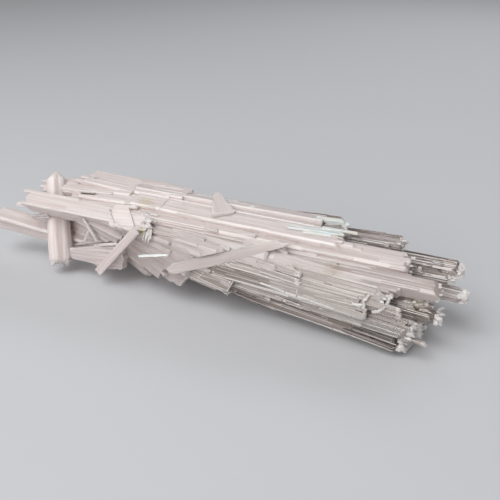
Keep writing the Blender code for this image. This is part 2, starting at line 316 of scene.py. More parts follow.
# the sheaf, in mm: root, tip, (width, thickness), turn, end, cloudiness where it isn't the usual one
sheafRows = {
    # inside, and seen only between the others
    "heartLow": ((-43, 2, 9.6), (18, 0.5, 9), (12, 10), 6, "blunt"),
    "heartTop": ((-46, 2.5, 14), (12, 1, 13.4), (11, 8), -8, "slant blunt"),
    "heartBack": ((-30, 5, 10), (24, 4, 9.5), (11, 10), 12, "slant"),
    # undermost, standing on the table
    "keelFront": ((-15, 3.3, 1.9), (31, -5.6, 1.9), (4.6, 3.8), 0, "ragged", 0.5),
    "keelEnd": ((24, -4.2, 1.9), (39.4, -7.2, 1.9), (4.5, 3.7), 0, "ragged", 0.06),
    "keelBack": ((-34, 6.8, 2.1), (27, 10, 2.1), (4.4, 4.2), 0, "slant ragged"),
    "keelLeft": ((-35, 2.9, 2), (-17.5, -2.3, 2), (4.4, 4), 0, "slant"),
    # reaching past the others on the right
    "clearTopRight": ((-12, 3, 14.2), (46.2, 5, 14.2), (3.2, 2.6), 18, "ragged", 0.05),
    "milkyChisel": ((-28, -7.4, 14.8), (44.2, -4.8, 13.6), (3.9, 3), 16, "chisel", 0.72),
    "clearBehind": ((-10, 2, 10.6), (48, 3.2, 9.3), (3, 2.4), 12, "ragged", 0.08),
    "clearLowMid": ((-14, -3, 10.4), (44.6, -4.4, 7.8), (3.6, 2.9), 16, "ragged", 0.1),
    "clearLowBack": ((-14, -1.6, 5.4), (41.2, -5.4, 4.6), (3.6, 3.2), 8, "ragged", 0.1),
    "spike": ((34, -8.9, 5), (43.4, -10, 4.3), (0.9, 0.8), 10, "slant", 0.55),
    "clearUpper": ((-6, 6, 15.2), (33, 9.6, 15.4), (2.8, 2.4), 20, "pyramid", 0.08),
    "clearUpperLow": ((-4, 5, 15.6), (30, 7, 14.8), (2.2, 1.8), 10, "blunt", 0.08),
    "glintLong": ((-14, 5, 17.6), (19.6, 7.6, 18.6), (2.6, 1.9), 8, "slant", 0.1),
    "glintShort": ((-8, 3, 17.8), (20.8, 5.2, 17.6), (2.6, 2.2), 26, "chisel", 0.2),
    "upperInner": ((-10, 3.4, 14.6), (38.6, 3.4, 12.8), (4.4, 3.4), 10, "ragged", 0.3),
    # broad faces along the top and the front
    "upperMilky": ((-27, -5.5, 17.2), (37, -0.6, 15.4), (5.2, 3.4), 14, "chisel", 0.92),
    "upperBand": ((-28, -3.4, 18.6), (22.5, -0.6, 17.2), (5, 3.2), 8, "chisel"),
    "topRidge": ((-30, 1.5, 19.4), (15.5, 5.6, 18.2), (5, 3), -12, "blunt"),
    "brokenUpper": ((-6, -8.8, 13.1), (34.6, -8.8, 11.6), (4, 3.2), 52, "ragged", 0.5),
    "stubUpper": ((6.4, -9.5, 14.2), (16.4, -10.2, 13.5), (1.5, 1.6), 48, "ragged", 0.35),
    "stubLower": ((8, -10.6, 12.95), (16.9, -11.2, 12.35), (1.35, 1.5), 52, "ragged", 0.35),
    "brokenLower": ((-3, -9.6, 11.2), (31.4, -10.4, 9.8), (4.4, 3.2), 66, "ragged", 0.36),
    "frontBand": ((-8, -8.4, 9.2), (31.2, -8.9, 6.55), (4.2, 3.2), 60, "ragged", 0.36),
    "frontEnd": ((26, -8.85, 6.85), (40.4, -9, 5.9), (4.1, 3.1), 60, "ragged", 0.06),
    "lowBand": ((-6, -6.4, 5.6), (29, -8.75, 3.25), (3.6, 3), 70, "ragged", 0.35),
    "lowEnd": ((24, -8.4, 3.6), (38.8, -9.4, 2.7), (3.5, 2.9), 70, "ragged", 0.06),
    "edgeStrip": ((-2, -8.8, 5.2), (10.5, -8.8, 3.3), (1.3, 1), 30, "slant", 0.1),
    "wedge": ((-18, -8, 10.6), (2, -10.6, 8.6), (6.2, 3), 74, "slant", 0.55),
    # the stepped slope under the left half
    "middleFace": ((-30, -6.6, 14.4), (0.5, -9.4, 13), (4.4, 3.4), 50, "ragged", 0.68),
    "middleFaceLow": ((-27, -7.2, 12.6), (-3, -9.8, 11), (4.2, 3.2), 62, "ragged", 0.66),
    "coverFace": ((1.5, -7.7, 15.15), (31, -7.35, 12.75), (3, 2.4), 38, "slant slant", 0.76),
    "slopeA": ((-42.6, -8.2, 14.5), (-32.3, -8.3, 9.6), (1.7, 1.6), 60, "ragged", 0.66),
    "slopeB": ((-41.1, -8.2, 14.9), (-30, -8.4, 10.9), (2.2, 1.7), 66, "blunt", 0.68),
    "slopeC": ((-39.1, -8.2, 14.8), (-28, -8.6, 11.9), (2.4, 1.8), 56, "ragged", 0.7),
    "steepA": ((-31, -5.8, 14.6), (-9, -10.2, 9.4), (5.2, 3.8), 62, "blunt", 0.68),
    "steepB": ((-33, -5.4, 12.8), (-13, -9.9, 7.6), (5, 3.8), 68, "ragged", 0.66),
    "steepC": ((-34, -4.8, 10.8), (-17, -9, 6.3), (4.8, 3.6), 74, "blunt", 0.66),
    "steepD": ((-34, -4, 8.8), (-20.6, -7.5, 5.1), (4.6, 3.4), 80, "ragged", 0.66),
    "steepE": ((-35, -2.8, 6.8), (-23.5, -5.6, 3.4), (4.4, 3.2), 86, "blunt", 0.66),
    # the end where the sheaf is gathered
    "leftPrism": ((-67.4, -8, 9.4), (-37, -3.4, 5), (4.4, 3.7), 18, "blunt", 0.88),
    "upperLeft": ((-57.2, -9.4, 16.6), (-27, -7, 15.6), (4.2, 3.8), 34, "ragged blunt", 0.86),
    "leftSliver": ((-60.3, -8.8, 14.6), (-44, -9.5, 16), (1.3, 1), 10, "slant blunt"),
    "leftSliverLow": ((-55, -6.6, 12.6), (-40, -7.4, 13.8), (1.7, 1.4), 30, "slant blunt"),
    "backBlock": ((-58.6, -0.8, 16.2), (-30, 0, 18.6), (6, 4.4), 10, "ragged blunt"),
    "farBlock": ((-55, 4.6, 13.6), (-20, 6.5, 14), (7, 6), -14, "ragged blunt"),
    "lowBlock": ((-52, 1, 9), (-24, 0, 8), (8, 6), 20, "slant blunt"),
    "slabFirst": ((-47.6, 2.2, 19.8), (-29.6, 1.4, 19.7), (6.6, 2.2), 6, "slant chisel"),
    "slabSecond": ((-37, 2.2, 19.2), (-20.6, 2.9, 19.3), (7.8, 3), 3, "oblique"),
    "slabChip": ((-30, 3.8, 18.6), (-16.6, 4.6, 18.6), (5, 2.2), -6, "oblique"),
    "cleavageBlock": ((-31.2, -7.6, 15.8), (-24.4, -7.2, 16.5), (5.4, 4.2), 43, "oblique"),
    "cleavageStep": ((-29, -7.9, 15.5), (-20.4, -7.4, 16.2), (4.6, 3.6), 43, "ragged"),
    # over the joins, low on the back, and fine needles
    "coverLeft": ((-48, -4.3, 16.4), (-24, -3.6, 17.9), (4.4, 3), 26, "slant blunt"),
    "coverMid": ((-45, -3.2, 17.6), (-20, -3.4, 18.9), (4.4, 2.6), 10, "slant blunt"),
    "slabThird": ((-35, 2.6, 19.4), (-17.2, 2.4, 19.9), (5.6, 2.3), 2, "blunt"),
    "clearTopRightLow": ((-5, 2.6, 12.4), (44.8, 4, 12.6), (2.8, 2.2), 20, "ragged", 0.3),
    "backFoot": ((-30, 8.9, 1.7), (6, 11, 1.6), (2.7, 2.2), 10, "slant ragged"),
    "backFootRight": ((-4, 10.3, 1.5), (24.5, 11.4, 1.5), (2.2, 2), -15, "chisel"),
    "backFootUpper": ((-26, 8.9, 3.5), (15, 11.3, 3.4), (2.4, 1.9), -35, "slant ragged"),
    "backLow": ((-32, 8.6, 4.4), (20, 10.2, 4.8), (3.2, 2.6), -40, "ragged"),
    "backLowShort": ((-38, 7.4, 5.2), (-2, 9.6, 6), (3.6, 2.8), -55, "chisel"),
    "backLowTip": ((-8, 9, 3.6), (30.5, 9.6, 3.8), (2.4, 2), -25, "ragged"),
    "backMid": ((-30, 9, 7), (24, 9.6, 6.8), (3, 2.4), -70, "blunt"),
    "needleLeft": ((-58.2, -6.4, 10.7), (-49.4, -10.4, 14.4), (0.5, 0.4), 10, "slant slant"),
    "needleLeftLow": ((-55.4, -7.8, 11.2), (-49.4, -10, 13.6), (0.5, 0.4), 30, "slant slant"),
    "needleLow": ((-45.6, -7, 5.5), (-31.4, -8.8, 10.8), (0.6, 0.5), 20, "slant slant"),
    "needleShelf": ((-36.6, -9.8, 8.6), (-28.6, -11.4, 11.4), (0.6, 0.5), 40, "slant slant"),
    "needleSlope": ((-42, -6.6, 12.6), (-31.4, -8.4, 9.4), (0.5, 0.5), 20, "slant slant"),
}

fan = {  # prisms that fill the sheaf, ring by ring
    "focus": Vector((-84, 0, 13.5)),  # they point away from it
    "girth": (  # x, (middle height, half width, half height)
        (-55, (13.6, 6.5, 4.5)),
        (-35, (12, 9.5, 7)),
        (-5, (10.6, 10.6, 8)),
        (42, (8.4, 10, 5.8)),
    ),
    "lowestFace": 0.7,  # mm over the table
    "turn": 14,  # degrees that a crystal may be turned from facing outwards
    "flatness": (0.7, 0.9),  # thickness over width
    "seed": 4,
    "milkySide": (4, 13.5),  # a tip left of the first or above the second is on the milky side
    "without": ("narrow05", "fine15", "fine17"),  # these would stand proud of the bands
    # count, arc in degrees, reach, x of the tips, lengths, widths, cloudiness on the milky side and off it
    "rings": {
        "short": (9, (-12, -212), 1, (-24, -8), (22, 32), (3.6, 5.4), (1, 1)),
        "middle": (11, (-12, -212), 1, (2, 20), (30, 44), (3.4, 5), (0.82, 0.82)),
        "long": (11, (-12, -212), 1, (28, 44), (40, 56), (2.8, 4.2), (0.3, 0.3)),
        "inner": (10, (0, -360), 0.5, (27, 43), (30, 44), (3, 4.4), (0.2, 0.2)),
        "narrow": (46, (80, -250), 1.13, (-22, 42), (9, 34), (0.9, 2), (0.84, 0.3)),
        "fine": (150, (80, -250), 1.08, (-24, 38), (8, 30), (0.6, 1.3), (0.84, 0.3)),
    },
}


def girthAt(x):
    for (lowX, low), (highX, high) in zip(fan["girth"], fan["girth"][1:]):
        if x <= highX:
            break
    share = min(1, max(0, (x - lowX) / (highX - lowX)))
    return [a + (b - a) * share for a, b in zip(low, high)]


def fanCrystals():
    draw = Random(fan["seed"])
    specs = {}
    milkyX, milkyZ = fan["milkySide"]
    for ring, (count, (first, last), reach, tips, lengths, widths, milks) in fan["rings"].items():
        for index in range(count):
            share = (index + draw.uniform(0.2, 0.8)) / count
            angle = radians(first + (last - first) * share)
            x = draw.uniform(*tips)
            width = draw.uniform(*widths)
            thick = width * draw.uniform(*fan["flatness"])
            middle, halfWidth, halfHeight = girthAt(x)
            y = -reach * halfWidth * sin(angle)
            z = middle + reach * halfHeight * cos(angle)
            tip = Vector((x, y, max(z, fan["lowestFace"] + 0.62 * width)))
            root = tip - (tip - fan["focus"]).normalized() * draw.uniform(*lengths)
            turn = degrees(angle) + draw.uniform(-fan["turn"], fan["turn"])
            end = draw.choice(("pyramid", "ragged", "chisel"))
            milk = milks[0 if tip.x < milkyX or tip.z > milkyZ else 1]
            name = f"{ring}{index:02d}"
            if name not in fan["without"]:
                specs[name] = (root, tip, (width, thick), turn, end, milk)
    return specs


bridge = {  # mm
    "widths": {"wide": (1, 1.7), "thin": (0.35, 0.85)},
    "raise": {"wide": (0, 0), "thin": (-0.05, 0.16)},  # how far the outer face stands proud
    "rootGap": (0, 9),  # how much shorter than the two crystals at the root
    "tipGap": (1, 12),  # and at the tip, up to a share of the length
    "tipShare": 0.4,
    "thickness": (0.92, 1),  # of the thinner crystal's
}
bridges = (  # narrow crystals over the valleys between neighbours: how many wide, how many thin
    ("topRidge", (3, 3), "upperBand", (4, 5), "upperMilky", (4, 6), "milkyChisel", (3, 6), "middleFace",
     (2, 6), "middleFaceLow", (2, 5), "steepA"),
    ("slopeA", (2, 4), "slopeC"),
    ("milkyChisel", (5, 8), "brokenUpper", (3, 5), "brokenLower", (3, 5), "frontBand", (3, 4), "lowBand"),
    ("upperMilky", (3, 4), "brokenUpper"), ("frontBand", (3, 3), "keelFront"),
    ("upperLeft", (3, 3), "steepA", (2, 7), "steepB", (2, 7), "steepC", (2, 7), "steepD", (2, 6), "steepE"),
    ("milkyChisel", (3, 6), "steepA"), ("wedge", (2, 2), "frontBand"), ("leftPrism", (2, 2), "lowBlock"),
)
cuts = {  # thin open clefts in the skin: root, tip, section
    "slit": ((-44.4, -3.1, 17.85), (-38.2, -2.7, 18.45), (4, 0.5)),
    "slitHigh": ((-43.8, 1.5, 20.25), (-42.2, 2, 20.3), (3.2, 0.35)),
    "nickRight": ((22.4, -5.4, 15.3), (23.4, -5.4, 15.2), (2, 0.3)),
    "nickMiddle": ((12.6, -3.6, 17.2), (13.3, -3.6, 17.1), (2, 0.3)),
    "nickLow": ((-14.8, -10.3, 12.1), (-14, -10.3, 11.9), (2, 0.3)),
}
cutShape = (-30, "point point")  # their turn and ends

laths = {  # narrow crystals on the faces of the wide ones
    "widths": (0.45, 1.3),  # mm, the lanes that a face is divided into
    "lengths": (5, 24),
    "gaps": (0.3, 6),  # between the laths of one lane
    "raise": {"clear": (-0.06, 0.14), "milky": (-0.05, 0.07)},  # above the face
    "leastRise": 0.02,  # lower ones don't show
    "thickness": 0.9,
    "swing": 1.2,  # degrees off the crystal's own axis
    "lowest": 0.9,  # mm over the table
    "hostWidth": 2,  # mm, the narrowest crystal that carries laths
    "inset": (0.15, 0.5),  # mm from the edges of the face to the lanes
    "first": (-6, 3),  # mm from the root, where a lane may start
    "rootFree": 0.4,
    "tipFree": (0.2, 2),
    "lastStart": 2.5,  # before the tip
    "shortest": 2,
    "probes": (0.05, 0.35, 0.65, 0.95),  # where along a lath it is looked for in the others
    "skin": 0.1,  # mm of each crystal that doesn't hide a lath
}


def isBuried(point, blockers):
    for inverse, length, halfWidth, halfThick in blockers:
        p = inverse @ point
        if 0.3 < p.x < length - 0.3 and abs(p.y) < halfWidth and abs(p.z) < halfThick:
            return True
    return False


def lathsOn(seed, spec, blockers):
    # narrow crystals side by side along the faces of a wider one, where they can be seen
    draw = Random(seed + "laths")
    root, tip, (width, thick), turn, ends, milk = spec
    length = (tip - root).length
    placed = lay(root, tip, turn)
    thin = laths["thickness"]
    found = []
    for side in range(4):
        across, out = (width, thick / 2) if side % 2 == 0 else (thick, width / 2)
        spin = Matrix.Rotation(radians(90 * side), 4, "X")
        top = placed.to_3x3() @ (spin @ Vector((0, 0, thin / 2)))
        y = -across / 2 + laths["inset"][0]
        while y < across / 2 - laths["inset"][1]:
            lathWidth = min(draw.uniform(*laths["widths"]), across / 2 - y)
            x = draw.uniform(*laths["first"])
            while x < length - laths["lastStart"]:
                lathLength = draw.uniform(*laths["lengths"])
                start = max(x, laths["rootFree"])
                end = min(x + lathLength, length - draw.uniform(*laths["tipFree"]))
                x += lathLength + draw.uniform(*laths["gaps"])
                rise = draw.uniform(*laths["raise"][kindOf(milk)])
                swing = tan(radians(draw.uniform(-1, 1) * laths["swing"])) * lathLength
                if end - start < laths["shortest"] or rise < laths["leastRise"]:
                    continue
                z = out + rise - thin / 2
                middleY = y + lathWidth / 2
                a = placed @ spin @ Vector((start, middleY - swing / 2, z))
                b = placed @ spin @ Vector((end, middleY + swing / 2, z))
                if min(a.z, b.z) < laths["lowest"]:
                    continue
                if all(isBuried(a.lerp(b, share) + top, blockers) for share in laths["probes"]):
                    continue
                shape = draw.choice(("blunt", "slant", "chisel", "ragged"))
                found.append((a, b, (lathWidth, thin), turn + 90 * side, shape, milk))
            y += lathWidth
    return found


def bridgesBetween(crystals):
    # laid halfway between the two, a little shorter, their outer faces in the plane that touches both
    found = {}
    links = [link for chain in bridges for link in zip(chain[::2], chain[1::2], chain[2::2])]
    for first, counts, second in links:
        draw = Random(first + second)
        a, b = crystals[first], crystals[second]
        thick = min(a[2][1], b[2][1])
        for (kind, widths), count in zip(bridge["widths"].items(), counts):
            for index in range(count):
                share = (index + 0.5) / count
                root, tip = a[0].lerp(b[0], share), a[1].lerp(b[1], share)
                along = (tip - root).normalized()
                root += along * draw.uniform(*bridge["rootGap"])
                least, most = bridge["tipGap"]
                tip -= along * draw.uniform(least, min(most, bridge["tipShare"] * (tip - root).length))
                turn = a[3] + (b[3] - a[3]) * share
                rise = Vector((0, 0, draw.uniform(*bridge["raise"][kind])))
                outward = lay(root, tip, turn).to_3x3() @ rise
                size = (draw.uniform(*widths), thick * draw.uniform(*bridge["thickness"]))
                end = draw.choice(("pyramid", "ragged", "chisel", "slant"))
                milk = a[5] + (b[5] - a[5]) * share ** 2
                name = f"{first}{second}{kind}{index}"
                found[name] = (root + outward, tip + outward, size, turn, end, milk)
    return found


def readRow(root, tip, section, turn, ends, milk=0.95):
    return Vector(root), Vector(tip), section, turn, ends, milk


sheafCrystals = {name: readRow(*row) for name, row in sheafRows.items()}


def growSheaf():
    crystals = {**sheafCrystals, **fanCrystals()}
    blockers = {}
    skin = laths["skin"]
    for name, (root, tip, (width, thick), turn, *rest) in crystals.items():
        inverse = lay(root, tip, turn).inverted()
        blockers[name] = (inverse, (tip - root).length, width / 2 - skin, thick / 2 - skin)
    skins = {"milky": [plateMesh("steepChip", *faceChips["steepChip"])],
             "clear": [plateMesh("wedgeFace", *faceChips["wedgeFace"])]}
    for name, spec in bridgesBetween(crystals).items():
        skins[kindOf(spec[5])].append(crystalMesh(name, *spec))
    for name, spec in crystals.items():
        meshes = skins[kindOf(spec[5])]
        meshes.append(crystalMesh(name, *spec))
        if spec[2][0] < laths["hostWidth"]:
            continue
        others = [b for other, b in blockers.items() if other != name]
        for index, lath in enumerate(lathsOn(name, spec, others)):
            meshes.append(crystalMesh(f"{name}{index}", *lath, lath=True))
    print(len(skins["milky"]), "milky and", len(skins["clear"]), "clear crystals")
    sheaves = []
    for kind, meshes in skins.items():
        name = kind + "Sheaf"
        sheaf = combine(name, meshes)
        seats = [plateMesh(n, *spec[:-1], lift=seatRule["lift"]) if n in outlines else
                 crystalMesh(n, *spec[:-1], grow=seatRule["gap"],
                             lift=seatRule["leaningLift" if "leaning" in n else "lift"])
                 for n, spec in loose.items() if n != "uprightPrism"]
        seats += [crystalMesh(n, *spec, *cutShape) for n, spec in cuts.items()]
        sheaves.append(combine(name, seats, "DIFFERENCE", sheaf))
    return sheaves


# crystals lying on the sheaf or leaning against it: rows as above, but plates have no width and no end
loose = {
    "uprightPrism": ((-45.3, -12.2, 2.9), (-53.8, -0.6, 21.4), (5.2, 4.2), 20, 1),
    "tabularCrystal": ((-42, -9.7, 5.2), (-27.6, -9.7, 7.2), 2, 79, 0.72),
    "shortCrossPrism": ((-33.8, -12.6, 3.4), (-22.6, -11.9, 16.2), (2, 0.9), 80, "blunt", 0.95),
    "crossBlade": ((-12.8, -12, 9.2), (12.8, -6.8, 18.4), 1, 60, 0.76),
    "brightNeedle": ((-22.4, -12, 9.9), (-14.2, -12.3, 12.2), (0.6, 0.5), 60, "slant slant", 0.8),
    "leaningNeedleLong": ((-34.8, -10.6, 10.3), (-38.9, -9.8, 15.3), (0.7, 0.6), 0, "blunt", 0.85),
    "leaningNeedleShort": ((-38.9, -10.1, 9.6), (-37.8, -9.2, 12.4), (1, 0.7), 0, "blunt", 0.95),
    "topFlake": ((-5.6, -2.4, 19.9), (-11.8, 6.4, 20.9), 0.9, 0, 1),
}
seatRule = {"gap": 0.02, "lift": 3, "leaningLift": 0.3}  # mm round a loose crystal and above it
faceChips = {  # thin plates on the faces of the sheaf
    "wedgeFace": ((-5.5, -10.75, 9.3), (1.9, -11.25, 9.3), 1, 69, 0.5),
    "steepChip": ((-14.5, -10.2, 6.2), (-7.1, -10.7, 6.2), 1.5, 69, 0.68),
}
outlines = {  # of the plates, in mm along and across
    "tabularCrystal": (
        (-1.6, 1.35), (0, 1.5), (6.1, 2.3), (7.1, 3.1), (8.2, 2.5), (13, 2.7), (14.2, 1.5), (14.3, 0.2),
        (14.5, -0.1), (14.4, -0.8), (14, -0.9), (13.9, -2.4), (13.2, -2.8), (12.4, -2.6), (11.6, -2.8),
        (7.3, -2.8), (5.3, -1.9), (1.4, -1.5), (0, -1.4), (-1.6, -0.9)),
    "crossBlade": (
        (-1.9, 0.2), (-0.6, 0.7), (0, 1), (13, 1.15), (24.7, 1.45), (25.3, 0.75), (27.7, 0.05),
        (26.2, -0.35), (18.5, -0.9), (13, -1.2), (8, -1.45), (4.5, -1.3), (0.3, -1.4), (-0.9, -1.1),
        (-1.5, -0.5)),
    "topFlake": (
        (-0.8, 2.5), (5.8, 1.5), (8.2, 1.1), (9.6, 0.5), (10, 0.1), (9.6, -0.3), (8.5, -0.8), (4, -1.8),
        (0.4, -2.9), (-0.3, -2.4)),
    "steepChip": (
        (-3.9, 0.7), (-0.9, 1.4), (3.7, 2), (4.8, 0.65), (4, 0), (3.3, -0.9), (2.8, -2), (1.9, -1.9),
        (1, -1.4), (-0.25, -1.6), (-1, -1.15), (-2.2, -0.9), (-3.2, -0.1)),
    "wedgeFace": ((-1.6, -1.6), (0.1, 0.2), (1.6, 1.6), (8.6, 2.7), (6.2, -2.9), (5.3, -2.6), (0, -1.9)),
}
plateStyle = {"bevel": 0.12, "edge": 0.8}  # mm of softened edge, and the painted highlight on it


def plateMesh(seed, root, tip, thick, turn, milk=1, lift=0):
    # a flat piece with its own outline and softened edges; lift makes it a cutter that reaches up
    bm = bmesh.new()
    edge = faceLayers(bm)["edge"]
    face = bm.faces.new([bm.verts.new((x, y, -thick / 2)) for x, y in outlines[seed]])
    moved = bmesh.ops.extrude_face_region(bm, geom=[face])["geom"]
    top = [g for g in moved if isinstance(g, bmesh.types.BMVert)]
    bmesh.ops.translate(bm, vec=(0, 0, thick + lift), verts=top)
    if not lift:
        softened = bmesh.ops.bevel(bm, geom=bm.edges[:], offset=plateStyle["bevel"], offset_type="OFFSET",
                                   segments=2, profile=0.5, affect="EDGES", material=-1)
        # the softened edges carry a painted highlight
        for rounded in softened["faces"]:
            rounded[edge] = plateStyle["edge"]
    bmesh.ops.recalc_face_normals(bm, faces=bm.faces)
    markGrain(bm, inf, milk, 0, Random(seed))
    placeCrystal(bm, root, tip, turn)
    return bm


uprightShape = {
    "corners": 64,
    "squareness": 3.4,  # of the rounded outline; 2 would be an ellipse
    "ribs": ((5, 0.03), (9, 0.03), (19, 0.02)),  # how many round the prism, how proud
    "stations": (  # mm from the foot, share of the full girth
        (0, 0.55), (0.2, 0.72), (0.5, 0.86), (1.1, 0.95), (2, 1), (5, 1.02), (9, 0.98), (14, 0.93),
        (18, 0.88), (20.8, 0.85), (21.5, 0.74), (22.5, 0.42), (23.3, 0.1)),
    "lumps": 0.22,  # mm
}


def uprightMesh(root, tip, section, turn, milk):
    # a stout ribbed prism with a rounded foot and a low point
    draw = Random("upright")
    count, power = uprightShape["corners"], uprightShape["squareness"]
    ribs = [(number, proud, draw.uniform(0, 6)) for number, proud in uprightShape["ribs"]]
    bm, order, cap = startPrism(count)
    for index, (x, share) in enumerate(uprightShape["stations"]):
        spots = []
        for corner in range(count):
            angle = 2 * pi * corner / count
            c, s = cos(angle), sin(angle)
            girth = (abs(c) ** power + abs(s) ** power) ** (-1 / power)
            ribbed = sum(proud * sin(number * angle + phase) for number, proud, phase in ribs)
            girth *= share * (1 + ribbed)
            lump = uprightShape["lumps"] * noise.noise(Vector((3 * c, 3 * s, 0.9 * x)))
            spots.append((c * (girth * section[0] / 2 + lump), s * (girth * section[1] / 2 + lump)))
        if index:
            cap = extrudeCap(bm, cap, keep=index == 1)
        shapeRing(cap, order, x, spots)
    bmesh.ops.recalc_face_normals(bm, faces=bm.faces)
    markGrain(bm, inf, milk, 0, draw)
    placeCrystal(bm, root, tip, turn)
    return bm


knobs = {  # little white crystals on a free tip: how many, the widest in mm
    "clearTopRight": (70, 0.65), "clearTopRightLow": (40, 0.6), "clearBehind": (54, 0.65),
    "clearLowMid": (56, 0.6), "clearLowBack": (80, 0.65), "keelEnd": (70, 0.65), "clearUpper": (14, 0.5),
    "milkyChisel": (10, 0.6), "upperInner": (20, 0.55), "stubUpper": (20, 0.55), "stubLower": (18, 0.5),
    "upperMilky": (12, 0.6), "frontEnd": (64, 0.65), "lowEnd": (56, 0.65), "glintShort": (6, 0.5),
    "brokenUpper": (12, 0.6),
}
knobRule = {  # mm, but for the flatness
    "narrowest": 0.3,
    "start": (0.4, 1.3),  # behind the tip
    "lengths": (0.6, 1.1),
    "lean": 0.25,
    "flatness": (0.7, 1),
}
rims = {  # beaded edges and, as painted highlights, bright lines: widths, stray, pace, half lengths, path
    "rimUpper": ((0.45, 0.65), 0.12, 0.28, (0.3, 0.45), (
        (31.2, -10.7, 12.85), (30.4, -11.2, 11.6), (30.9, -11.9, 10.4))),
    "rimUpperFoot": ((0.6, 1), 0.18, 0.28, (0.35, 0.5), (
        (30.9, -11.9, 10.4), (30.7, -11.4, 8.9), (30.6, -10.7, 7.5))),
    "rimLower": ((0.6, 0.85), 0.06, 0.28, (0.35, 0.45), (
        (34.7, -8.2, 12.3), (34.9, -9.8, 11.4), (34.5, -11, 11), (33.5, -11.5, 10.2), (32.4, -11.6, 9.9))),
    # white slivers as a painted highlight along the cleavage block's edge
    "blockLine": ((0.34, 0.42), 0.02, 1.2, (0.65, 0.75), (
        (-33, -7.6, 18.35), (-31.1, -9.4, 17.45), (-29.3, -10.8, 16.2), (-26.8, -10.95, 15.75),
        (-24.8, -10.95, 15.5))),
    # white slivers as a painted highlight along the front band
    "bandLine": ((0.34, 0.42), 0.01, 3, (1.3, 1.7), (
        (8.1, -11.85, 10.55), (13.9, -12.25, 10.05), (19.6, -12.45, 9.55), (24.6, -12.4, 9))),
    "bandLineEnd": ((0.34, 0.42), 0.01, 3, (1.3, 1.7), ((25.5, -10.9, 7.65), (30.2, -10.9, 7.15))),
}
crumbs = {  # middle, half extents along, across and out, direction, turn, count, lengths, widths
    "blockTop": ((-22.6, -6.9, 18.3), (2.2, 0.9, 0.1), (1, -0.2, -0.1), 0, 16, (0.7, 1.8), (0.3, 0.5)),
    "blockFlakes": ((-21.9, -8.55, 17.3), (1.9, 1.8, 0.12), (1, 0.05, 0.08), 43, 40, (0.8, 2), (0.25, 0.5)),
    "bristles": ((-21, -10, 14.9), (0.5, 1.5, 0.3), (-0.05, -0.5, -1), 0, 26, (1.6, 3.2), (0.2, 0.4)),
    # white slivers as a painted highlight: a bright dash
    "bright": ((28.4, -11.95, 11.1), (1.6, 0.1, 0.3), (1, 0, -0.1), 0, 5, (1.2, 2.4), (0.3, 0.5)),
    "uprightFoot": ((-45.5, -12, 3.3), (0.4, 1.9, 1.5), (-0.42, 0.57, 0.9), 20, 26, (0.9, 1.8), (0.6, 1.1)),
    "topKnob": ((-0.6, 2.8, 20.4), (0.5, 0.3, 0.1), (1, 0, 0), 0, 6, (0.7, 1.2), (0.4, 0.7)),
    "slabEnd": ((-17.4, 2.4, 19.9), (0.5, 2.2, 0.7), (1, 0.3, 0), 0, 22, (0.8, 1.8), (0.4, 0.8)),
    "rimKnob": ((34.8, -8.1, 12.4), (0.3, 0.3, 0.3), (1, 0, 0), 0, 8, (0.8, 1.2), (0.6, 0.9)),
    "beigePatch": ((40.4, -5.3, 10.2), (1.3, 0.7, 1.3), (1, 0, 0), 0, 44, (0.7, 1.5), (0.3, 0.7)),
    "flakeFoot": ((-8, -3.4, 19.3), (0.8, 0.6, 0.2), (1, 0, 0), 0, 8, (0.6, 1.4), (0.3, 0.6)),
    "wedgeFoot": ((-0.5, -10.8, 5.6), (0.5, 0.3, 0.4), (0.8, 0, -0.5), 0, 7, (0.5, 0.9), (0.3, 0.6)),
}


def scatter(draw, *reaches):
    return [draw.uniform(-1, 1) * reach for reach in reaches]


def knobSpecs(name, count, widest):
    draw = Random(name + "knobs")
    root, tip, (width, thick), turn, *rest = sheafCrystals[name]
    placed = lay(root, tip, turn)
    length = (tip - root).length
    for _ in range(count):
        size = draw.uniform(knobRule["narrowest"], widest)
        y, z = scatter(draw, (width - size) / 2, (thick - size) / 2)
        start = length - draw.uniform(*knobRule["start"])
        end = start + draw.uniform(*knobRule["lengths"])
        leanY, leanZ = scatter(draw, knobRule["lean"], knobRule["lean"])
        shape = draw.choice(("ragged", "pyramid", "ragged"))
        yield (placed @ Vector((start, y, z)), placed @ Vector((end, y + leanY, z + leanZ)),
               (size, size * draw.uniform(*knobRule["flatness"])), draw.uniform(0, 90), shape)


def rimSpecs(name, widths, stray, pace, reach, path):
    draw = Random(name)
    points = [Vector(p) for p in path]
    tilt = 8 * stray
    for a, b in zip(points, points[1:]):
        steps = max(1, round((b - a).length / pace))
        for step in range(steps):
            middle = a.lerp(b, (step + 0.5) / steps) + Vector(scatter(draw, stray, stray, stray))
            along = (b - a).normalized() + Vector(scatter(draw, tilt, tilt, tilt))
            half = along.normalized() * draw.uniform(*reach)
            size = draw.uniform(*widths)
            yield (middle - half, middle + half, (size, size * 0.9), draw.uniform(0, 90), "ragged ragged")


def crumbSpecs(name, middle, extents, direction, turn, count, lengths, widths):
    draw = Random(name)
    middle, direction = Vector(middle), Vector(direction).normalized()
    placed = lay(middle, middle + direction, turn)
    for _ in range(count):
        spot = placed @ Vector(scatter(draw, *extents))
        along = direction + Vector(scatter(draw, 0.3, 0.3, 0.3))
        reach = along.normalized() * draw.uniform(*lengths) / 2
        size = draw.uniform(*widths)
        ends = draw.choice(("ragged", "slant")) + " " + draw.choice(("ragged", "chisel", "slant"))
        section = (size, size * draw.uniform(0.5, 1))
        yield (spot - reach, spot + reach, section, draw.uniform(0, 90), ends)


def growFrosted():
    specs = []
    for name, rule in knobs.items():
        specs += knobSpecs(name, *rule)
    for name, rule in rims.items():
        specs += rimSpecs(name, *rule)
    for name, rule in crumbs.items():
        specs += crumbSpecs(name, *rule)
    meshes = [crystalMesh(f"frosted{index}", *spec, milk=0.8, lath=True, frost=1)
              for index, spec in enumerate(specs)]
    print(len(meshes), "little crystals")
    return combine("frostedTips", meshes)


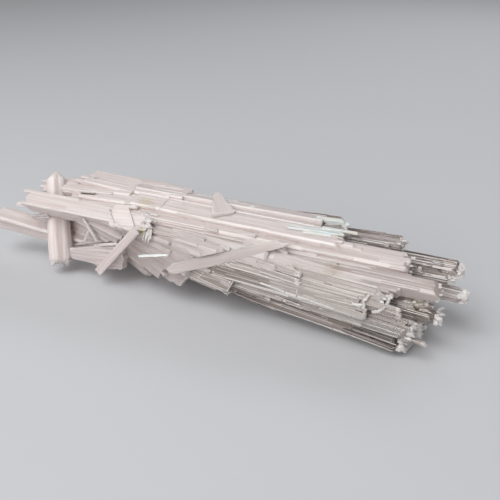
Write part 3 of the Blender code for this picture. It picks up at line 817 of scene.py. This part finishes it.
def grainPattern(tree, across, along, detail=2):
    # noise drawn out along the crystal, on the piece's own grain map; both sizes are in mm
    grain = addNode(tree, "ShaderNodeUVMap", uv_map="grain")
    size = addNode(tree, "ShaderNodeMapping", [("Vector", grain.outputs["UV"])],
                   [("Scale", (1 / (across * mm), 1 / (along * mm), 1))])
    return addNode(tree, "ShaderNodeTexNoise", [("Vector", size.outputs["Vector"])],
                   [("Scale", 1), ("Detail", detail)]).outputs["Fac"]


def mixColour(tree, factor, first, second, blend="MIX"):
    # each colour is an sRGB hex or the socket that brings it
    mix = addNode(tree, "ShaderNodeMix", data_type="RGBA", blend_type=blend)
    for socket, value in (("Factor", factor), ("A", first), ("B", second)):
        if isinstance(value, bpy.types.NodeSocket):
            tree.links.new(value, mix.inputs[socket])
        else:
            mix.inputs[socket].default_value = toLinear(value) if isinstance(value, str) else value
    return mix.outputs["Result"]


def ramp(tree, value, source=(0, 1), target=(0, 1)):
    ends = zip(("From Min", "From Max", "To Min", "To Max"), (*source, *target))
    return addNode(tree, "ShaderNodeMapRange", [("Value", value)], ends).outputs["Result"]


# faint colour: middle and reach in mm, colour, strength
stains = (
    ((-22.3, -9.9, 15.2), 1.5, "#c3bf6e", 0.75),
    ((-24.6, -4.4, 19.9), 2.6, "#e0dcb4", 0.45),
    ((22.4, -7.4, 15), 2.6, "#d9d1b9", 0.5),
    ((40.4, -5.3, 10.2), 3, "#d6cdb6", 0.6),
)


def addStains(tree, colour):
    place = addNode(tree, "ShaderNodeTexCoord").outputs["Object"]
    for middle, reach, tint, strength in stains:
        gap = addNode(tree, "ShaderNodeVectorMath", [(0, place)], [(1, (Vector(middle) - boxMiddle) * mm)],
                      operation="DISTANCE").outputs["Value"]
        near = ramp(tree, gap, (0.25 * reach * mm, reach * mm), (strength, 0))
        colour = mixColour(tree, near, colour, tint, "MULTIPLY")
    return colour


def newMaterial(name, values):
    material = bpy.data.materials.new(name)
    material.use_nodes = True
    shader = material.node_tree.nodes["Principled BSDF"]
    for socket, value in values.items():
        shader.inputs[socket].default_value = value
    return material, material.node_tree, shader


def multiplyAdd(tree, first, factor, second):
    return addNode(tree, "ShaderNodeMath", [(0, first), (2, second)], [(1, factor)],
                   operation="MULTIPLY_ADD").outputs[0]


def scoleciteMaterial(name, look):
    glow, glowDepth = look["glow"]
    edgeHighlightWhite, edgeCloud = look["edge"]
    material, tree, shader = newMaterial(name, {
        "IOR": scoleciteIor, "Subsurface Weight": glow, "Subsurface Radius": (1, 0.98, 0.97),
        "Subsurface Scale": glowDepth * mm})
    milk, tone, frost, edge = [addNode(tree, "ShaderNodeAttribute", attribute_name=n).outputs["Fac"]
                               for n in ("milk", "tone", "frost", "edge")]
    fine = grainPattern(tree, *look["fibre"])
    broad = grainPattern(tree, *broadFibre)
    both = addNode(tree, "ShaderNodeMath", [(0, fine), (1, broad)], operation="ADD").outputs[0]
    streak = ramp(tree, both, (0.82, 1.2))
    # colour: greyer and browner where clearer, lined along the fibres, a little different in each crystal
    body = mixColour(tree, milk, look["clearer"], look["milkier"])
    lined = mixColour(tree, 1, body, mixColour(tree, streak, look["line"], "#ffffff"), "MULTIPLY")
    toned = mixColour(tree, 1, lined, mixColour(tree, tone, look["dullest"], "#ffffff"), "MULTIPLY")
    frosted = mixColour(tree, ramp(tree, frost, target=(0, 0.85)), toned, "#f7f2f0")
    # painted highlight: edges, seams and end faces whitened
    frosted = mixColour(tree, ramp(tree, edge, target=(0, edgeHighlightWhite)), frosted, "#fbf9f8")
    tree.links.new(addStains(tree, frosted), shader.inputs["Base Color"])
    # see-through: less where the crystal is cloudy, streaked or frosted, and where its edges carry the
    # painted highlight
    white = multiplyAdd(tree, ramp(tree, streak, (0.45, 1)), look["streakCloud"], milk)
    white = multiplyAdd(tree, edge, edgeCloud, white)
    cloud = multiplyAdd(tree, frost, 0.6, white)
    tree.links.new(ramp(tree, cloud, target=(1, look["leastSee"])), shader.inputs["Transmission Weight"])
    tree.links.new(ramp(tree, frost, target=(look["roughness"], 0.5)), shader.inputs["Roughness"])
    bump = addNode(tree, "ShaderNodeBump", [("Height", both)],
                   [("Strength", look["bump"]), ("Distance", 0.03 * mm)])
    tree.links.new(bump.outputs["Normal"], shader.inputs["Normal"])
    if "absorb" in look:
        absorb = addNode(tree, "ShaderNodeVolumeAbsorption",
                         inputs=[("Color", toLinear("#e9e2de")), ("Density", look["absorb"])])
        tree.links.new(absorb.outputs[0], tree.nodes["Material Output"].inputs["Volume"])
    return material


def paintedGlintMaterial():
    # polished faces with a painted glint: nearly white, with faint blue, green and yellow painted in as an
    # iridescent reflection
    material, tree, shader = newMaterial("paintedGlintScolecite", {
        "IOR": scoleciteIor, "Roughness": 0.08, "Transmission Weight": 0.25})
    patch = grainPattern(tree, 0.5, 5, 1)
    # painted reflection: noise patches of pale blue and yellow over white
    cool = mixColour(tree, ramp(tree, patch, (0.52, 0.62)), "#ffffff", "#d9eff3")
    colour = mixColour(tree, ramp(tree, patch, (0.46, 0.36)), cool, "#f6f6e4")
    tree.links.new(colour, shader.inputs["Base Color"])
    return material


scoleciteIor = 1.51
broadFibre = (1.1, 30)  # mm across and along: wide streaks
# one fibrous mineral in four states; fibre is its streaks' width and length in mm, drawn coarser than
# the real ones, so that they show, edge how white its edges are painted as a highlight and how cloudy
# they are, glow how much and how deep in mm
looks = {
    "milky": {  # clouded by inclusions: soft white, glowing a little way in
        "clearer": "#bfb3af", "milkier": "#f3ebe9", "line": "#eee9e8", "dullest": "#f5f3f2",
        "fibre": (0.22, 11), "edge": (0.4, 0.24), "streakCloud": 0, "leastSee": 0.12,
        "glow": (0.8, 1.6), "roughness": 0.28, "bump": 0.25},
    "silky": {  # finely fibrous: a satin sheen along the crystal, light coming through its thin edges
        "clearer": "#e4dcda", "milkier": "#f3ebe9", "line": "#efeae9", "dullest": "#f8f6f6",
        "fibre": (0.3, 14), "edge": (0.5, 0.3), "streakCloud": 0.2, "leastSee": 0.2,
        "glow": (0.5, 1.2), "roughness": 0.22, "bump": 0.2},
    "clear": {  # glassy: grey-brown depths, white seams and edges painted in as highlights, and sharp highlights
        "clearer": "#f1ebe8", "milkier": "#ab9e96", "line": "#e0d9d5", "dullest": "#f6f4f3",
        "fibre": (0.35, 22), "edge": (0.9, 0.85), "streakCloud": 0.2, "leastSee": 0,
        "glow": (0, 1), "roughness": 0.05, "bump": 0.06, "absorb": 4},
    "frosted": {  # broken and bruised: sugary white, without a shine
        "clearer": "#f5eeec", "milkier": "#f7f0ee", "line": "#f4f2f2", "dullest": "#f1eeee",
        "fibre": (0.22, 2), "edge": (0.5, 0.3), "streakCloud": 0, "leastSee": 0.25,
        "glow": (0.6, 0.8), "roughness": 0.4, "bump": 0.3},
}
materials = {state: scoleciteMaterial(state + "Scolecite", look) for state, look in looks.items()}
# the painted glint, for the bright faces and the bright needle
materials["glint"] = paintedGlintMaterial()


def dress(piece, material, slot, *nodes):
    piece.data.materials.clear()
    piece.data.materials.append(material)
    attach(piece, "root")
    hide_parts(*nodes)


milkySheaf, clearSheaf = growSheaf()
dress(milkySheaf, materials["milky"], "milky_scolecite", "crystal_sheaf")
dress(clearSheaf, materials["clear"], "clear_scolecite", "crystal_sheaf")
frostedTips = growFrosted()
dress(frostedTips, materials["frosted"], "clear_scolecite", "crystal_sheaf")
print("sheaf", [len(o.data.polygons) for o in (milkySheaf, clearSheaf, frostedTips)])


paintedGlints = {  # thin faces laid on the upper bands, coloured as a painted glint
    "band": ((9.2, -0.9, 19.3), (21.6, 1.4, 19), (2.3, 0.5), -8, "slant oblique"),
    "bandLow": ((13, -1.6, 19.1), (19.8, -0.2, 18.9), (1.3, 0.5), -8, "slant slant"),
    "bandHigh": ((16.2, 1.6, 19.3), (24, 3.4, 18.7), (0.9, 0.5), -4, "slant chisel"),
    "tip": ((13.6, 4.2, 19.9), (19.9, 6.2, 19.4), (1.3, 0.7), 8, "slant oblique"),
    "tipLow": ((16, 4.8, 19.2), (21.4, 6.6, 18.7), (1, 0.8), 8, "slant slant"),
}
paintedGlintFaces = combine("paintedGlintFaces", [crystalMesh("glint" + name, *spec, milk=0.8, lath=True)
                                      for name, spec in paintedGlints.items()])
dress(paintedGlintFaces, materials["glint"], "clear_scolecite", "crystal_sheaf")


def growLoose(name, spec):
    if name in outlines:
        return makeObject(name, plateMesh(name, *spec))
    if name != "uprightPrism":
        return makeObject(name, crystalMesh(name, *spec))
    piece = makeObject(name, uprightMesh(*spec))
    for face in piece.data.polygons:
        face.use_smooth = True
    return piece


# the bright needle wears the painted glint as its colour
looseStates = {"brightNeedle": "glint", "uprightPrism": "milky", "topFlake": "milky", "crossBlade": "milky"}
for name, spec in loose.items():
    node = "".join("_" + c.lower() if c.isupper() else c for c in name)
    dress(growLoose(name, spec), materials[looseStates.get(name, "silky")], "silky_scolecite", node)
print("loose crystals")


studio = {
    "floor": "#c6c7ca",  # matt grey board
    "world": "#d2d2d2",
    "worldStrength": 0.33,
    "lights": {  # azimuth, elevation, distance, size in m, watts, colour
        "keyLight": (-30, 58, 0.6, (0.5, 0.5), 2.85, "#ffffff"),
        "backLight": (165, 35, 0.6, (0.5, 0.15), 0.8, "#fbfcff"),
        "fillLight": (0, 22, 0.7, (0.5, 0.3), 1.7, "#fffdfb"),
    },
}


def plainFloor():
    bm = bmesh.new()
    bmesh.ops.create_grid(bm, x_segments=1, y_segments=1, size=1.5)
    floor = makeObject("floor", bm)
    paleFloor = newMaterial("paleFloor", {"Base Color": toLinear(studio["floor"]), "Roughness": 0.7})
    floor.data.materials.append(paleFloor[0])


def backFrom(azimuth, elevation):
    a, e = radians(azimuth), radians(elevation)
    return Vector((sin(a) * cos(e), -cos(a) * cos(e), sin(e)))


def addFacing(name, data, back, place):
    # a lamp or camera, which look down their own Z
    thing = addObject(name, data)
    thing.matrix_world = Matrix.LocRotScale(place, back.to_track_quat("Z", "Y"), None)
    return thing


def softLight(name, azimuth, elevation, distance, size, power, colour):
    back = backFrom(azimuth, elevation)
    data = bpy.data.lights.new(name, "AREA")
    data.shape = "RECTANGLE"
    data.size, data.size_y = size
    data.energy = power
    data.color = toLinear(colour)[:3]
    addFacing(name, data, back, back * distance)


# degrees, metres, and mm for the rest
view = {"azimuth": 26, "elevation": 27, "distance": 0.158, "height": 11, "lens": 50, "sensor": 36}


def setCamera():
    back = backFrom(view["azimuth"], view["elevation"])
    data = bpy.data.cameras.new("camera")
    data.lens, data.sensor_width, data.clip_start = view["lens"], view["sensor"], 0.001
    middle = (Vector((0, 0, view["height"])) - boxMiddle) * mm
    scene.camera = addFacing("camera", data, back, middle + back * view["distance"])


plainFloor()
for name, light in studio["lights"].items():
    softLight(name, *light)
setCamera()
scene.world = bpy.data.worlds.new("studio")
scene.world.use_nodes = True
surroundings = scene.world.node_tree.nodes["Background"].inputs
surroundings[0].default_value = toLinear(studio["world"])
surroundings[1].default_value = studio["worldStrength"]
scene.view_settings.view_transform = "Standard"
scene.cycles.max_bounces = scene.cycles.transmission_bounces = 32
scene.cycles.glossy_bounces = scene.cycles.diffuse_bounces = 8
